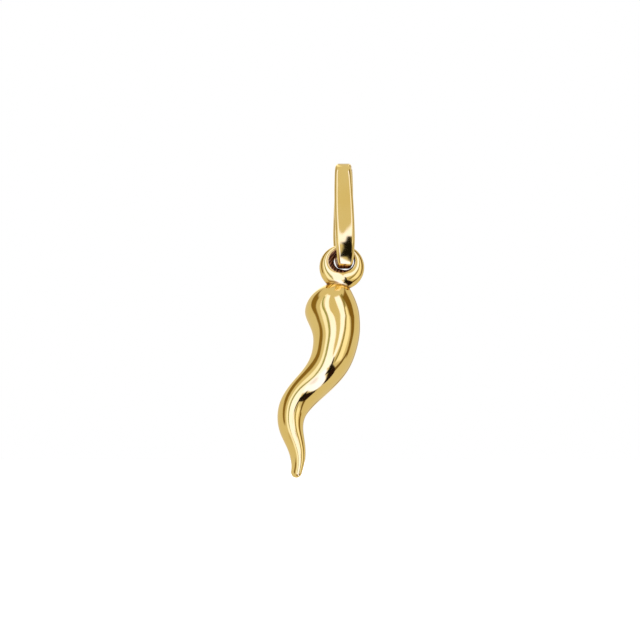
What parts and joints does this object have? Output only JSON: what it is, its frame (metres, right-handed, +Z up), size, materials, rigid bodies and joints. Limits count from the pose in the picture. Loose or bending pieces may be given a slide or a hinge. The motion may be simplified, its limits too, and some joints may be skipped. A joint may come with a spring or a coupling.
{
  "type": "cornicello horn pendant",
  "caption": "Small horn-shaped charm with a polished S-curved body that hangs and swings by its ring-shaped eye from a long flat-band bail.",
  "frame": {"origin": "middle of the chain's seat, at the top of the bail's inside", "axes": "+Z up along the hanging pendant, +X across the front as a viewer sees it, along the chain at its seat, with the horn's tip curving towards -X, and the front of the pendant facing -Y"},
  "size_m": [0.0073, 0.0041, 0.0262],
  "materials": {
    "gold": "polished"
  },
  "bodies": {
    "bail": {"bail": "gold"},
    "horn": {"horn": "gold"}
  },
  "joints": [
    {"name": "horn_swing", "type": "hinge", "parent": "bail", "child": "horn", "pos_m": [0.00003, 0, -0.0066], "axis": [0.994, 0.1097, 0], "range_deg": [-80, 80]}
  ]
}
